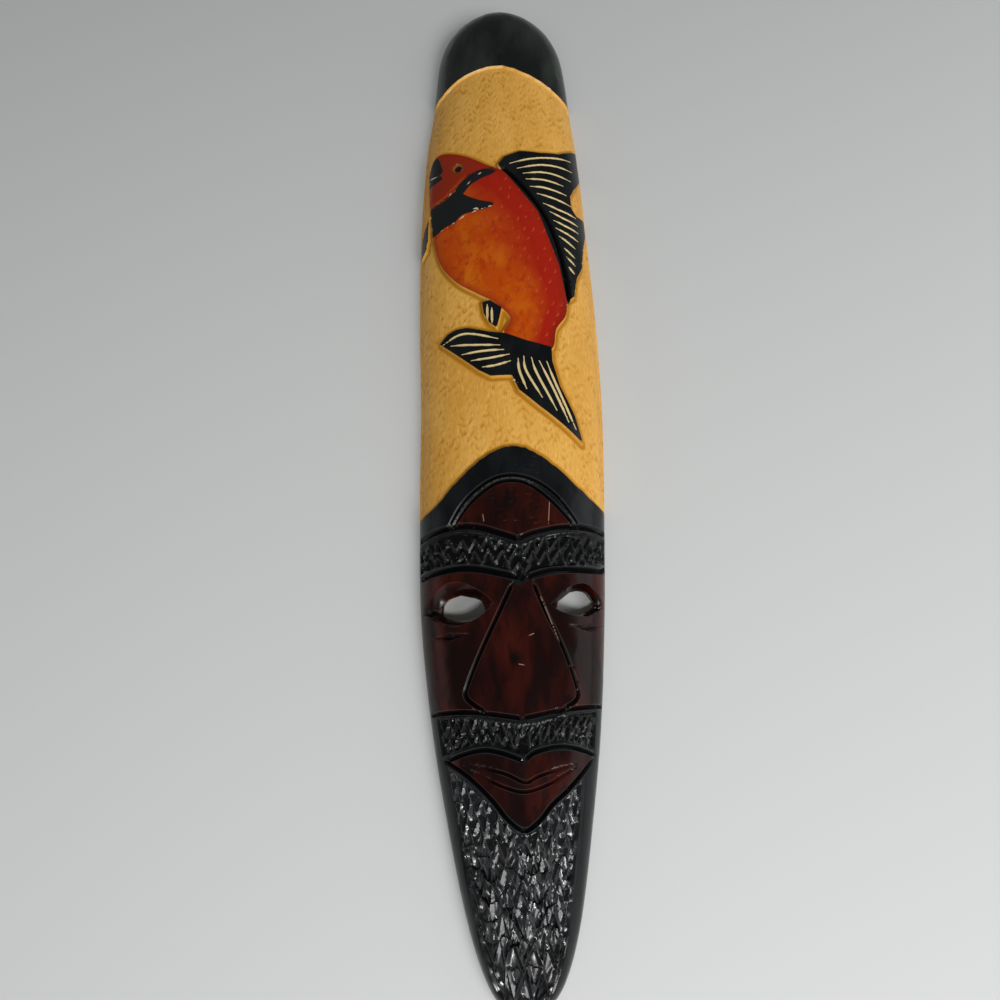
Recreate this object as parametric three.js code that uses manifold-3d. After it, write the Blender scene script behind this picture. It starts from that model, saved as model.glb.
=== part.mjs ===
// A long carved and painted wall mask. One piece of light wood, domed in front and hollowed behind,
// with a black cap, a fish in low relief on a gouged ground, and a bearded face below it.
// The mask lies on its back rim: +Z is the front, +Y the crown, and +X is to the right of the face.

import * as THREE from 'three';
import { mergeVertices } from 'three/addons/utils/BufferGeometryUtils.js';
import Module from 'manifold-3d';

const wasm = await Module();
wasm.setup();

// Driving dimensions in millimetres.
const LENGTH = 1000;
const WIDTH = 170;
const DOME = 44.6;
const WALL = 14;
const RIM = 12;
const END_BLOCK = 44;
const CROWN_ROUND = 129;
const CHIN_ROUND = 153;
const HOLLOW_ROUND = 90;
const GROUND_DROP = 2.2;
const EYE_SOCKET = 9;
const FURROW = { width: 7, depth: 3 };
const LINE = { width: 4.6, depth: 2.2 };
const FIN_RAY = { width: 1.7, depth: 1 };
const TOOTH = { pitch: 12, height: 15, width: 2.8, depth: 1.3 };
const BEARD_ROW = 21;

// The finish of each painted area is left to the paint; the wood under it is one colour.
const STAIN = 0x2a1a12;

// Outline of the plain view. Each list runs from chin to crown in ten equal steps and gives
// the half width as a share of WIDTH, left and right apart, because the carving is uneven.
const STEPS = Float32Array.from({ length: 11 }, (_, i) => i / 10 - 0.5);
const LEFT_SHARES = Float32Array.of(0.192, 0.298, 0.402, 0.467, 0.48, 0.481, 0.495, 0.495, 0.468, 0.417, 0.507);
const RIGHT_SHARES = Float32Array.of(0.23, 0.311, 0.399, 0.454, 0.488, 0.511, 0.508, 0.486, 0.461, 0.425, 0.501);
const leftSide = new THREE.CubicInterpolant(STEPS, LEFT_SHARES, 1);
const rightSide = new THREE.CubicInterpolant(STEPS, RIGHT_SHARES, 1);
const CROWN_POWER = 2.16;
const CHIN_POWER = 3.4;
const CREST_POWER = 0.6;
const BLUNT = 0.005;

// How finely the dome is faceted, across and along.
const FACETS_ACROSS = 16;
const FACETS_ALONG = 38;

// Rounding of an end: 1 away from it, falling to almost nothing at the tip.
const rounding = (room, power) => {
  const share = Math.min(Math.max(room, BLUNT), 1);
  return (1 - (1 - share) ** power) ** (1 / power);
};

// Half widths in mm at a place along the mask, which runs from -0.5 at the chin to 0.5 at the crown.
const halfWidths = (along) => {
  const end = along > 0
    ? rounding(((0.5 - along) * LENGTH) / CROWN_ROUND, CROWN_POWER)
    : rounding(((0.5 + along) * LENGTH) / CHIN_ROUND, CHIN_POWER);
  return {
    left: leftSide.evaluate(along)[0] * WIDTH * end,
    right: rightSide.evaluate(along)[0] * WIDTH * end,
  };
};

const crest = (along) => {
  const { left, right } = halfWidths(along);
  return DOME * ((left + right) / WIDTH) ** CREST_POWER;
};

// A point of the front. Across runs from -1 at the left edge to 1 at the right edge.
const EDGE_SHARE = 0.25;
const front = (across, along, drop = 0) => {
  const { left, right } = halfWidths(along);
  const half = (across < 0 ? left : right) - drop * EDGE_SHARE;
  const height = (crest(along) - drop) * Math.sqrt(Math.max(1 - across ** 2, 0));
  return new THREE.Vector3(across * half, along * LENGTH, height);
};

const PROBE = 0.002;
const outward = (across, along) => {
  const inside = THREE.MathUtils.clamp(across, -0.99, 0.99);
  const sideways = front(inside + PROBE, along).sub(front(inside - PROBE, along));
  const upward = front(inside, along + PROBE).sub(front(inside, along - PROBE));
  return sideways.cross(upward).normalize();
};

// A closed skin over rings that all have the same number of points.
const loft = (rings) => {
  const count = rings[0].length;
  const faces = [];
  for (let ring = 0; ring < rings.length - 1; ring += 1) {
    for (let point = 0; point < count; point += 1) {
      const next = (point + 1) % count;
      const a = ring * count + point;
      const b = ring * count + next;
      faces.push([a, b, b + count], [a, b + count, a + count]);
    }
  }
  const last = (rings.length - 1) * count;
  for (let point = 1; point < count - 1; point += 1) {
    faces.push([0, point + 1, point], [last, last + point, last + point + 1]);
  }
  const points = rings.flat();
  const volume = faces.reduce((sum, [a, b, c]) => sum + points[a].dot(points[b].clone().cross(points[c])), 0);
  const index = faces.flatMap(([a, b, c]) => (volume > 0 ? [a, b, c] : [a, c, b]));
  const geometry = new THREE.BufferGeometry().setFromPoints(points);
  geometry.setIndex(index);
  return geometry;
};

const toSolid = (geometry) => {
  geometry.deleteAttribute('normal');
  geometry.deleteAttribute('uv');
  const merged = mergeVertices(geometry, 1e-4);
  return new wasm.Manifold(new wasm.Mesh({
    numProp: 3,
    vertProperties: new Float32Array(merged.attributes.position.array),
    triVerts: new Uint32Array(merged.index.array),
  }));
};

// Cutting tools reach past the wood, to these heights under the rim and over the front.
const BELOW = -5;
const ABOVE = DOME + 10;

// The dome as a solid, its surface sunk by drop. Its underside lies at floor.
const dome = (drop, floor) => {
  const rings = [];
  for (let step = 0; step <= FACETS_ALONG; step += 1) {
    const along = 0.5 * Math.sin((step / FACETS_ALONG - 0.5) * Math.PI);
    const ring = [];
    for (let facet = 0; facet <= FACETS_ACROSS; facet += 1) {
      const across = Math.sin((facet / FACETS_ACROSS - 0.5) * Math.PI);
      ring.push(front(across, along, drop));
    }
    if (floor < 0) {
      ring.unshift(ring[0].clone().setZ(floor));
      ring.push(ring[ring.length - 1].clone().setZ(floor));
    }
    rings.push(ring);
  }
  return toSolid(loft(rings));
};

// The hollow behind, with rounded ends, leaving WALL in front, RIM at the sides and END_BLOCK at the ends.
const HOLLOW_ACROSS = 10;
const HOLLOW_ALONG = 20;
const hollow = () => {
  const reach = 0.5 - END_BLOCK / LENGTH;
  const rings = [];
  for (let step = 0; step <= HOLLOW_ALONG; step += 1) {
    const along = reach * Math.sin((step / HOLLOW_ALONG - 0.5) * Math.PI);
    const end = rounding(((reach - Math.abs(along)) * LENGTH) / HOLLOW_ROUND, CROWN_POWER);
    const { left, right } = halfWidths(along);
    const height = (crest(along) - WALL) * end;
    const ring = [];
    for (let facet = 0; facet <= HOLLOW_ACROSS; facet += 1) {
      const across = Math.sin((facet / HOLLOW_ACROSS - 0.5) * Math.PI);
      const half = (across < 0 ? left : right) - RIM;
      ring.push(new THREE.Vector3(across * half * end, along * LENGTH, height * Math.sqrt(1 - across ** 2)));
    }
    ring[0].z = BELOW;
    ring[HOLLOW_ACROSS].z = BELOW;
    rings.push(ring);
  }
  return toSolid(loft(rings));
};

// Places of the carving, in hundredths of the half width across and thousandths of the length along.
const at = (...pairs) => pairs.map(([across, along]) => new THREE.Vector2(across / 100, along / 1000));
const curve = (points, perSpan = 2) => new THREE.SplineCurve(points).getPoints((points.length - 1) * perSpan);
const plan = (point) => {
  const { left, right } = halfWidths(point.y);
  return new THREE.Vector2(point.x * (point.x < 0 ? left : right), point.y * LENGTH);
};

// A block over an outline of the plain view, from just under the rim to clear above the front.
const block = (outline) => {
  const foot = BELOW / 2;
  const geometry = new THREE.ExtrudeGeometry(new THREE.Shape(outline), {
    depth: ABOVE - foot,
    bevelEnabled: false,
  });
  geometry.translate(0, 0, foot);
  return toSolid(geometry);
};

// A V cut of the knife along a path on the front. It runs out to nothing over a share of its length.
const MITRE_LIMIT = 0.22;
const STUB = 0.15;
const CLEAR = 0.6;
const cut = (path, { width, depth }, runOut = 0) => {
  const count = path.length;
  const spots = path.map((point) => front(point.x, point.y));
  const rings = spots.map((spot, i) => {
    const normal = outward(path[i].x, path[i].y);
    const before = spots[Math.max(i - 1, 0)];
    const after = spots[Math.min(i + 1, count - 1)];
    const arriving = i > 0 ? spot.clone().sub(before) : after.clone().sub(spot);
    const leaving = i < count - 1 ? after.clone().sub(spot) : spot.clone().sub(before);
    const first = arriving.cross(normal).normalize();
    const second = leaving.cross(normal).normalize();
    const side = first.clone().add(second).normalize();
    const mitre = 1 / Math.max(side.dot(first), MITRE_LIMIT);
    const share = Math.min(i, count - 1 - i) / (count - 1);
    const fade = runOut > 0 ? THREE.MathUtils.clamp(share / runOut, STUB, 1) : 1;
    const lift = depth * fade + CLEAR;
    const spread = side.multiplyScalar((width / 2) * fade * (1 + lift / (depth * fade)) * mitre);
    const top = spot.clone().addScaledVector(normal, lift);
    return [
      spot.clone().addScaledVector(normal, -depth * fade),
      top.clone().add(spread),
      top.clone().sub(spread),
    ];
  });
  return toSolid(loft(rings));
};

// The painted and gouged ground lies between the black cap and the hood, round the fish.
const capEdge = curve(at([-104, 368], [-88, 374], [-56, 388], [-4, 395], [33, 388], [84, 369], [104, 366]));
const hoodEdge = curve(at([-104, -114], [-85, -109], [-63, -92], [-38, -73], [-10, -60], [11, -59],
  [37, -71], [66, -91], [89, -105], [104, -108]));
const ground = block([...capEdge, ...hoodEdge.reverse()].map(plan));

const fishBody = at([-93, 268], [-88, 284], [-77, 286], [-48, 274], [-20, 258], [6, 246], [27, 222], [44, 198],
  [57, 167], [63, 137], [66, 109], [64, 84], [52, 65], [46, 43], [20, 40], [-4, 58], [3, 74], [-13, 91],
  [-34, 104], [-56, 120], [-74, 145], [-83, 177], [-87, 207], [-91, 240]);
const dorsalFin = at([-7, 258], [1, 268], [21, 276], [48, 277], [72, 282], [98, 302], [99, 266], [88, 243],
  [82, 231], [82, 216], [88, 209], [98, 212], [98, 194], [93, 175], [90, 159], [88, 146], [80, 130],
  [77, 117], [75, 107], [66, 99], [60, 140], [40, 200], [6, 242]);
const bellyFin = at([-28, 93], [-19, 95], [-6, 86], [-9, 74], [-12, 64], [-20, 70], [-26, 80]);
const tailFin = at([-4, 58], [-20, 60], [-45, 67], [-57, 67], [-67, 64], [-76, 56], [-53, 36], [-33, 20],
  [-20, 13], [3, 13], [10, -2], [31, -18], [56, -35], [76, -50], [68, -24], [53, 5], [46, 30], [46, 45], [20, 50]);
const flankFin = at([-90, 211], [-95, 200], [-98, 186], [-98, 167], [-93, 172], [-90, 186]);
const figures = [
  curve([...fishBody, fishBody[0]]),
  dorsalFin,
  bellyFin,
  tailFin,
  flankFin,
].map((outline) => block(outline.map(plan)));
const fish = wasm.Manifold.union(figures);

const core = dome(GROUND_DROP, BELOW);
const carvedGround = ground.subtract(fish).subtract(core);

// The line between back and dorsal fin, and the rays cut into the fins.
const backLine = cut(curve(at([-4, 256], [12, 243], [33, 219], [48, 197], [60, 166], [67, 130], [69, 98])), LINE, 0.1);
const dorsalRays = [
  at([8, 259], [38, 268], [88, 280]),
  at([17, 253], [52, 262], [88, 266]),
  at([24, 247], [52, 252], [85, 252]),
  at([27, 240], [74, 241]),
  at([32, 231], [77, 230]),
  at([40, 223], [81, 218]),
  at([47, 212], [87, 206]),
  at([54, 203], [89, 197]),
  at([58, 193], [88, 188]),
  at([60, 184], [87, 177]),
  at([63, 175], [82, 166]),
  at([68, 162], [80, 154]),
  at([70, 152], [80, 144]),
  at([71, 141], [78, 134]),
];
const tailRays = [
  at([-73, 54], [-49, 61], [-11, 52]),
  at([-64, 51], [-33, 47], [-9, 45]),
  at([-52, 39], [-5, 40]),
  at([-41, 31], [1, 35]),
  at([-29, 23], [2, 28]),
  at([10, 31], [11, 18], [18, -1]),
  at([16, 33], [18, 18], [34, -9]),
  at([24, 32], [29, 16], [49, -21]),
  at([32, 29], [61, -31]),
  at([40, 29], [48, 8], [69, -38]),
];
const bellyRays = [at([-22, 90], [-22, 73]), at([-17, 86], [-17, 69])];
const rays = [...dorsalRays, ...tailRays, ...bellyRays].map((path) => cut(curve(path), FIN_RAY, 0.4));

// The double lines of the face are the two lips of a V furrow.
const furrows = [
  curve(at([-66, -130], [-46, -107], [-16, -90], [14, -90], [42, -105], [69, -131])),
  curve(at([-98, -132], [-66, -130], [-40, -132], [-15, -139], [5, -145])),
  curve(at([5, -145], [28, -138], [64, -131], [98, -128])),
  curve(at([-97, -168], [-52, -169], [-9, -177], [6, -182])),
  curve(at([6, -182], [14, -180], [42, -173], [85, -168], [98, -163])),
].map((path) => cut(path, FURROW, 0.12));
const lines = [
  curve(at([-1, -182], [-18, -210], [-37, -239], [-53, -264], [-55, -274], [-40, -286])),
  curve(at([19, -182], [34, -210], [51, -236], [66, -264], [68, -276], [55, -285])),
  curve(at([-96, -284], [-56, -287], [5, -294])),
  curve(at([5, -294], [58, -286], [98, -279])),
  curve(at([-83, -323], [-47, -317], [-24, -319], [6, -326])),
  curve(at([6, -326], [22, -319], [56, -315], [93, -319])),
  curve(at([-65, -326], [-19, -335], [7, -342])),
  curve(at([7, -342], [26, -337], [74, -326])),
  curve(at([-92, -320], [-67, -334], [-38, -353], [-14, -368], [5, -376])),
  curve(at([5, -376], [33, -364], [61, -348], [92, -321])),
  curve(at([-64, -329], [-20, -345], [6, -348], [34, -343], [72, -328])),
].map((path) => cut(path, LINE, 0.1));
const cheekCuts = [
  curve(at([-88, -223], [-48, -224]), 4),
  curve(at([59, -217], [97, -215]), 4),
].map((path) => cut(path, LINE, 0.5));

// Zig-zag knife work on brow band, moustache and beard.
const zigzag = (along, from, to) => {
  const { left, right } = halfWidths(along / 1000);
  const span = (to - from) * (left + right) / 200;
  const legs = 2 * Math.max(Math.round(span / TOOTH.pitch), 1);
  const path = [];
  for (let leg = 0; leg <= legs; leg += 1) {
    const rise = (leg % 2 === 0 ? 0.5 : -0.5) * TOOTH.height;
    path.push(new THREE.Vector2((from + ((to - from) * leg) / legs) / 100, along / 1000 + rise / LENGTH));
  }
  return cut(path, TOOTH);
};
const BEARD_LEFT = -84;
const BEARD_RIGHT = 76;
const BEARD_TOP = -394;
const BEARD_END = -485;
const hair = [
  zigzag(-156, -92, -6),
  zigzag(-156, 12, 94),
  zigzag(-304, -84, 84),
  zigzag(-352, BEARD_LEFT, -50),
  zigzag(-372, BEARD_LEFT, -22),
  zigzag(-372, 38, BEARD_RIGHT),
];
for (let along = BEARD_TOP; along > BEARD_END; along -= (BEARD_ROW * 1000) / LENGTH) {
  hair.push(zigzag(along, BEARD_LEFT, BEARD_RIGHT));
}

// An eye: a leaf-shaped socket that narrows to a leaf-shaped hole right through.
const LEAF_POINTS = 7;
const leaf = ({ outer, inner, rise, fall }) => {
  const points = [];
  for (let turn = 0; turn < 2 * LEAF_POINTS; turn += 1) {
    const angle = (turn / LEAF_POINTS) * Math.PI;
    const share = 0.5 - 0.5 * Math.cos(angle);
    const bulge = Math.sin(angle) > 0 ? rise * Math.sin(angle) : fall * Math.sin(angle);
    points.push(outer.clone().lerp(inner, share).add(new THREE.Vector2(0, bulge / LENGTH)));
  }
  return points;
};
const LIFT_SHARE = 0.25;
const eye = (socket, hole) => {
  const opening = leaf(hole);
  const deep = opening.map((p) => front(p.x, p.y).add(new THREE.Vector3(0, 0, -EYE_SOCKET)));
  const edge = leaf(socket).map((p) => front(p.x, p.y));
  const lifted = edge.map((spot, i) => spot.clone().lerp(deep[i], -LIFT_SHARE));
  const above = lifted.map((spot) => spot.clone().setZ(ABOVE));
  const under = deep.map((spot) => spot.clone().setZ(BELOW));
  return toSolid(loft([above, lifted, deep, under]));
};
const [leftOuter, leftInner, leftHoleOuter, leftHoleInner] = at([-96, -199], [-23, -202], [-75, -202], [-27, -202]);
const [rightInner, rightOuter, rightHoleInner, rightHoleOuter] = at([37, -201], [98, -194], [42, -200], [86, -196]);
const eyes = [
  eye({ outer: leftOuter, inner: leftInner, rise: 20, fall: 17 },
    { outer: leftHoleOuter, inner: leftHoleInner, rise: 13, fall: 11 }),
  eye({ outer: rightInner, inner: rightOuter, rise: 17, fall: 11 },
    { outer: rightHoleInner, inner: rightHoleOuter, rise: 13, fall: 9 }),
];

const carving = wasm.Manifold.union([
  carvedGround, hollow(), backLine, ...rays, ...furrows, ...lines, ...cheekCuts, ...hair, ...eyes,
]);
const carved = dome(0, 0).subtract(carving);

const shape = carved.getMesh();
const geometry = new THREE.BufferGeometry();
geometry.setAttribute('position', new THREE.BufferAttribute(shape.vertProperties, 3));
geometry.setIndex(new THREE.BufferAttribute(shape.triVerts, 1));
geometry.computeBoundingBox();
geometry.translate(-geometry.boundingBox.getCenter(new THREE.Vector3()).x, 0, 0);
geometry.computeVertexNormals();

const mask = new THREE.Mesh(geometry, new THREE.MeshStandardMaterial({
  color: STAIN,
  roughness: 0.35,
  metalness: 0,
}));
mask.name = 'mask';

const wallMask = new THREE.Group();
wallMask.add(mask);

export default wallMask;
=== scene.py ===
import math

import bpy
import numpy as np
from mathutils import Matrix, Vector


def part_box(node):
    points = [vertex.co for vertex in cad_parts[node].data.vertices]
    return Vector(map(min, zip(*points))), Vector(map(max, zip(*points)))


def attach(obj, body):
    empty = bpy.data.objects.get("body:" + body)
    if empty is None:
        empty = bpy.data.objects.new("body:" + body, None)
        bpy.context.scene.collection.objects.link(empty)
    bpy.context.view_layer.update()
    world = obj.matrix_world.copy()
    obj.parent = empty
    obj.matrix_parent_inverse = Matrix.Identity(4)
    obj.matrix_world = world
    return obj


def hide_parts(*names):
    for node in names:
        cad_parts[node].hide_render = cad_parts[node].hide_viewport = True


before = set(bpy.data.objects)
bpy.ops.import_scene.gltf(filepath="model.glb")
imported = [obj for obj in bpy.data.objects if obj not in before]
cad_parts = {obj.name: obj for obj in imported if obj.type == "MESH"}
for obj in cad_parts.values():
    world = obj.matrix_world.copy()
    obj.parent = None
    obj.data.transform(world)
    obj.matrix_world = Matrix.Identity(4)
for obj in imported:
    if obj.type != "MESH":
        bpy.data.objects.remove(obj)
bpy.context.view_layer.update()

# The blank. A stem of light wood is split, hollowed and domed into a shell about a metre long.
# Its outline is a little uneven, and its section is half an ellipse that thins towards chin and crown.
# All sizes are in mm until the points of the mesh are turned to metres.
MM = 0.001
low, high = (np.array(corner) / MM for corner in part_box("mask"))
LENGTH = high[1] - low[1]
DOME = high[2]
OUTLINE_STEPS = 10
LEFT_SHARES = np.array([0.192, 0.298, 0.402, 0.467, 0.48, 0.481, 0.495, 0.495, 0.468, 0.417, 0.507])
RIGHT_SHARES = np.array([0.23, 0.311, 0.399, 0.454, 0.488, 0.511, 0.508, 0.486, 0.461, 0.425, 0.501])
CROWN_ROUND, CROWN_POWER = 129, 2.16
CHIN_ROUND, CHIN_POWER = 153, 3.4
CREST_POWER = 0.6
BLUNT = 0.005
STATIONS = 400


def between_points(points, place):
    """The curve through evenly spaced points, at places counted in steps."""
    points = np.asarray(points, float)
    index = np.clip(np.floor(place).astype(int), 0, len(points) - 2)
    share = place - index
    padded = np.concatenate([[2 * points[0] - points[1]], points, [2 * points[-1] - points[-2]]])
    before, start, end, after = (padded[index + shift] for shift in range(4))
    if points.ndim > 1:
        share = share[:, None]
    bend = 2 * before - 5 * start + 4 * end - after
    twist = 3 * (start - end) + after - before
    return start + 0.5 * share * (end - before + share * (bend + share * twist))


def end_rounding(room, power):
    """How wide an end still is, as a share, this near to its tip."""
    return (1 - (1 - np.clip(room, BLUNT, 1)) ** power) ** (1 / power)


def half_shares(y):
    """Left and right half widths along the mask, as shares of the full width."""
    crown = end_rounding((LENGTH / 2 - y) / CROWN_ROUND, CROWN_POWER)
    chin = end_rounding((LENGTH / 2 + y) / CHIN_ROUND, CHIN_POWER)
    end = np.where(y > 0, crown, chin)
    place = np.clip((y / LENGTH + 0.5) * OUTLINE_STEPS, 0, OUTLINE_STEPS)
    return between_points(LEFT_SHARES, place) * end, between_points(RIGHT_SHARES, place) * end


stations = np.linspace(-LENGTH / 2, LENGTH / 2, STATIONS)
widest = [shares.max() for shares in half_shares(stations)]
WIDTH = (high[0] - low[0]) / sum(widest)
MIDDLE = low[0] + widest[0] * WIDTH
FULL_CREST = DOME / np.sum(half_shares(stations), axis=0).max() ** CREST_POWER


def section(y):
    """Left and right half widths and the height of the crest, in mm, at places along the mask."""
    left, right = half_shares(y)
    return left * WIDTH, right * WIDTH, FULL_CREST * (left + right) ** CREST_POWER


# The layout of cap, ground and hood, as drawn on the wood before cutting. The carver marks each form
# by eye and lays a line through the marks, with a hand that wavers a little. Marks are given in
# hundredths of the half width and thousandths of the length.
SAMPLE_PLACES, SAMPLE_WEIGHTS = np.polynomial.legendre.leggauss(8)
WAVER = 0.7


def girth(angle, half, crest):
    """Length over the dome from its middle line out to an angle of the half ellipse."""
    total = np.zeros_like(angle)
    for place, weight in zip(SAMPLE_PLACES, SAMPLE_WEIGHTS):
        at = angle * (place + 1) / 2
        total += weight * np.hypot(half * np.cos(at), crest * np.sin(at))
    return total * angle / 2


def on_wood(*marks):
    """The places of marks on the wood: how far over from the middle line, and how far along."""
    marks = np.array(marks, float)
    y = marks[:, 1] / 1000 * LENGTH
    left, right, crest = section(y)
    angle = np.arcsin(np.clip(np.abs(marks[:, 0]) / 100, 0, 1))
    half = np.where(marks[:, 0] < 0, left, right)
    spare = np.maximum(np.abs(marks[:, 0]) / 100 - 1, 0) * half
    return np.stack([np.sign(marks[:, 0]) * (girth(angle, half, crest) + spare), y], axis=-1)


def flowing(marks, per_span=6):
    """A smooth line through marks."""
    return between_points(marks, np.linspace(0, len(marks) - 1, (len(marks) - 1) * per_span + 1))


cap_edge = flowing(on_wood(
    (-104, 368), (-88, 374), (-56, 388), (-4, 395), (33, 388), (84, 369), (104, 366)))
hood_edge = flowing(on_wood(
    (-104, -114), (-85, -109), (-63, -92), (-38, -73), (-10, -60), (11, -59), (37, -71), (66, -91),
    (89, -105), (104, -108)))
hand = np.random.default_rng(7)
for edge in (cap_edge, hood_edge):
    edge[:, 1] += hand.uniform(-WAVER, WAVER, len(edge))

# The fish, left standing in low relief when the ground is cut away. Its body is one plain swelling.
# Its fins are flat and black, with rays nicked through the paint, and black marks cross its head.
fish_body = flowing(on_wood(
    (-93, 268), (-88, 284), (-77, 286), (-48, 274), (-20, 258), (6, 246), (27, 222), (44, 198), (57, 167),
    (63, 137), (66, 109), (64, 84), (52, 65), (46, 43), (20, 40), (-4, 58), (3, 74), (-13, 91),
    (-34, 104), (-56, 120), (-74, 145), (-83, 177), (-87, 207), (-91, 240), (-93, 268)))
dorsal_fin = on_wood(
    (-7, 258), (1, 268), (21, 276), (48, 277), (72, 282), (98, 302), (99, 266), (88, 243), (82, 231),
    (82, 216), (88, 209), (98, 212), (98, 194), (93, 175), (90, 159), (88, 146), (80, 130), (77, 117),
    (75, 107), (66, 99), (60, 140), (40, 200), (6, 242), (-7, 258))
belly_fin = on_wood((-28, 93), (-19, 95), (-6, 86), (-9, 74), (-12, 64), (-20, 70), (-26, 80), (-28, 93))
tail_fin = on_wood(
    (-4, 58), (-20, 60), (-45, 67), (-57, 67), (-67, 64), (-76, 56), (-53, 36), (-33, 20), (-20, 13),
    (3, 13), (10, -2), (31, -18), (56, -35), (76, -50), (68, -24), (53, 5), (46, 30), (46, 45),
    (20, 50), (-4, 58))
flank_fin = on_wood((-90, 211), (-95, 200), (-98, 186), (-98, 167), (-93, 172), (-90, 186), (-90, 211))
fins = [dorsal_fin, belly_fin, tail_fin, flank_fin]
dorsal_rays = [
    ((8, 259), (38, 268), (88, 280)), ((17, 253), (52, 262), (88, 266)), ((24, 247), (52, 252), (85, 252)),
    ((27, 240), (50, 242), (74, 241)), ((32, 231), (50, 232), (77, 230)), ((40, 223), (60, 221), (81, 218)),
    ((47, 212), (66, 208), (87, 206)), ((54, 203), (70, 199), (89, 197)), ((58, 193), (72, 190), (88, 188)),
    ((60, 184), (72, 181), (87, 177)), ((63, 175), (72, 171), (82, 166)), ((68, 162), (74, 158), (80, 154)),
    ((70, 152), (75, 148), (80, 144)), ((71, 141), (74, 138), (78, 134)),
]
tail_rays = [
    ((-73, 54), (-49, 61), (-11, 52)), ((-64, 51), (-33, 47), (-9, 45)), ((-52, 39), (-28, 40), (-5, 40)),
    ((-41, 31), (-20, 32), (1, 35)), ((-29, 23), (-14, 24), (2, 28)), ((10, 31), (11, 18), (18, -1)),
    ((16, 33), (18, 18), (34, -9)), ((24, 32), (29, 16), (49, -21)), ((32, 29), (46, 1), (61, -31)),
    ((40, 29), (48, 8), (69, -38)),
]
belly_rays = [((-22, 90), (-22, 81), (-22, 73)), ((-17, 86), (-17, 78), (-17, 69))]
# Each stroke of the knife has a path, a width and depth in mm, and a share of it that runs out.
RAY = (2.2, 0.7)
RAY_RUN_OUT = 0.4
rays = [(flowing(on_wood(*marks)), RAY, RAY_RUN_OUT) for marks in dorsal_rays + tail_rays + belly_rays]
head_marks = [flowing(on_wood(*marks), 3) for marks in (
    ((-95, 276), (-87, 286), (-81, 281), (-77, 270), (-76, 261), (-95, 257), (-95, 276)),
    ((-96, 257), (-80, 259), (-75, 253), (-84, 251), (-97, 248), (-96, 257)),
    ((-8, 251), (-23, 253), (-37, 250), (-49, 242), (-58, 232), (-49, 226), (-40, 235), (-26, 242),
     (-14, 246), (-8, 251)),
    ((-92, 219), (-72, 223), (-57, 231), (-44, 222), (-28, 214), (-12, 209), (-22, 203), (-36, 201),
     (-50, 199), (-58, 192), (-70, 189), (-80, 184), (-92, 185), (-92, 219)))]
gill_line = flowing(on_wood((-90, 221), (-75, 224), (-64, 230), (-52, 240), (-37, 251), (-10, 254)))
fish_eye = on_wood((-56, 260))[0]
EYE_RADIUS = 6
belly_line = flowing(on_wood(
    (-93, 268), (-92, 240), (-88, 207), (-84, 177), (-75, 145), (-57, 119), (-34, 103), (-13, 90),
    (4, 74), (-3, 58)))
back_line = flowing(on_wood(
    (-77, 288), (-48, 276), (-20, 260), (6, 248), (27, 224), (45, 200), (58, 168), (64, 138),
    (67, 109), (65, 84), (53, 65), (47, 43)))

# The face, in flat planes that V cuts of the knife part. Deep furrows run round the brow band and
# down the back of the fish, plain lines draw nose, cheeks and mouth, and finer ones arch and lips.
# Forehead, face and mouth are stained brown, and what lies between them is painted black.
FURROW = (6.6, 3.8)
LINE = (4.4, 2.5)
ARCH_LINE = (3.8, 2.7)
LIP_LINE = (3.4, 1.7)
CHEEK_CUT = (8, 3)
furrows = [
    ((-99, -133), (-66, -130), (-40, -132), (-15, -139), (5, -145)),
    ((5, -145), (28, -138), (64, -131), (99, -129)),
    ((-98, -168), (-52, -168), (-9, -176), (5, -179)),
    ((14, -179), (42, -172), (85, -167), (99, -162)),
    ((-4, 256), (12, 243), (33, 219), (48, 197), (60, 166), (67, 130), (69, 98)),
]
lines = [
    ((-1, -182), (-18, -210), (-37, -239), (-53, -264), (-56, -276), (-34, -289)),
    ((19, -182), (34, -210), (51, -236), (66, -264), (68, -277), (48, -288)),
    ((-99, -284), (-56, -287), (5, -294)),
    ((5, -294), (58, -286), (99, -279)),
    ((-86, -322), (-47, -317), (-24, -319), (6, -326)),
    ((6, -326), (22, -319), (56, -315), (94, -319)),
    ((-92, -320), (-67, -334), (-38, -353), (-17, -369), (5, -377), (25, -370), (42, -358), (63, -346),
     (92, -321)),
]
arch_lines = [
    ((-69, -131), (-49, -106), (-17, -88), (15, -88), (45, -103), (72, -131)),
    ((-63, -130), (-43, -109), (-15, -93), (13, -93), (39, -108), (66, -131)),
]
lip_lines = [
    ((-68, -325), (-19, -335), (7, -342), (26, -337), (76, -325)),
    ((-68, -327), (-45, -337), (-20, -345), (6, -349), (34, -344), (55, -336), (76, -327)),
]
cheek_cuts = [
    ((-88, -223), (-68, -225), (-48, -224)), ((59, -217), (78, -218), (97, -212)),
    ((-97, -201), (-75, -201)), ((80, -199), (97, -197)),
]
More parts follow.
